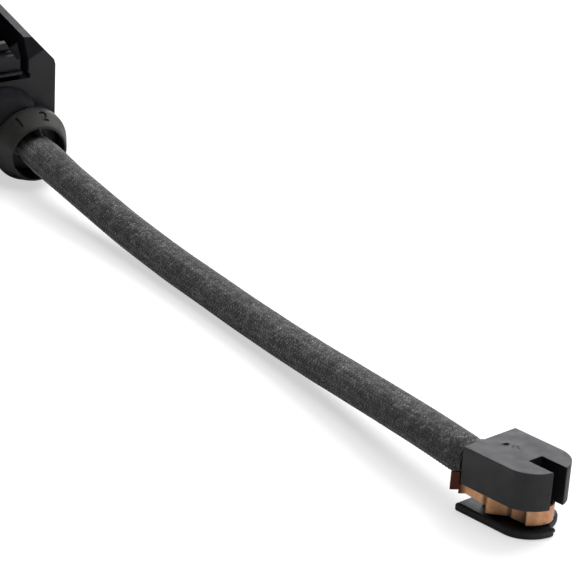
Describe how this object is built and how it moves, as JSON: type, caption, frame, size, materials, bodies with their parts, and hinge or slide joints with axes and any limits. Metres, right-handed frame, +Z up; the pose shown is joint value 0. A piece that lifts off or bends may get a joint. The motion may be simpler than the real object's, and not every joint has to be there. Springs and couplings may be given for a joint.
{
  "type": "brake pad wear sensor",
  "caption": "Brake pad wear sensor: a slotted plastic sensing head in a folded spring clip, joined by a woven sleeved lead to a latching electrical connector.",
  "frame": {"origin": "middle of the sensing head's flat standing face, the underside of its flange", "axes": "+X towards the head's rounded nose, away from the lead; +Y towards the head's left side seen from its tail; +Z up, out of the head's flat top"},
  "size_m": [0.2007, 0.0542, 0.0316],
  "materials": {
    "head_plastic": "moulded black plastic, satin",
    "plug_plastic": "moulded black plastic, satin",
    "cap_plastic": "moulded black plastic, satin",
    "spring_bronze": "rolled spring bronze strip, bare",
    "woven_sleeve": "woven charcoal yarn",
    "wire_insulation": "extruded wire insulation",
    "copper_wire": "drawn copper",
    "tinned_brass": "stamped brass, tinned",
    "seal_rubber": "moulded silicone",
    "lock_plastic": "moulded plastic"
  },
  "bodies": {
    "root": {"sensor_head": "head_plastic", "spring_clip": "spring_bronze", "wear_loop": "copper_wire", "splice_a": "tinned_brass", "splice_b": "tinned_brass", "head_wire_a": "wire_insulation", "head_wire_b": "wire_insulation", "braided_sleeve": "woven_sleeve", "rear_cap": "cap_plastic", "sleeve_ferrule": "tinned_brass", "plug_wire_a": "wire_insulation", "plug_wire_b": "wire_insulation", "seal_retainer": "lock_plastic", "wire_seal_a": "seal_rubber", "wire_seal_b": "seal_rubber", "terminal_a": "tinned_brass", "terminal_b": "tinned_brass", "terminal_lock": "lock_plastic", "mating_seal": "seal_rubber", "connector_housing": "plug_plastic"}
  },
  "joints": []
}
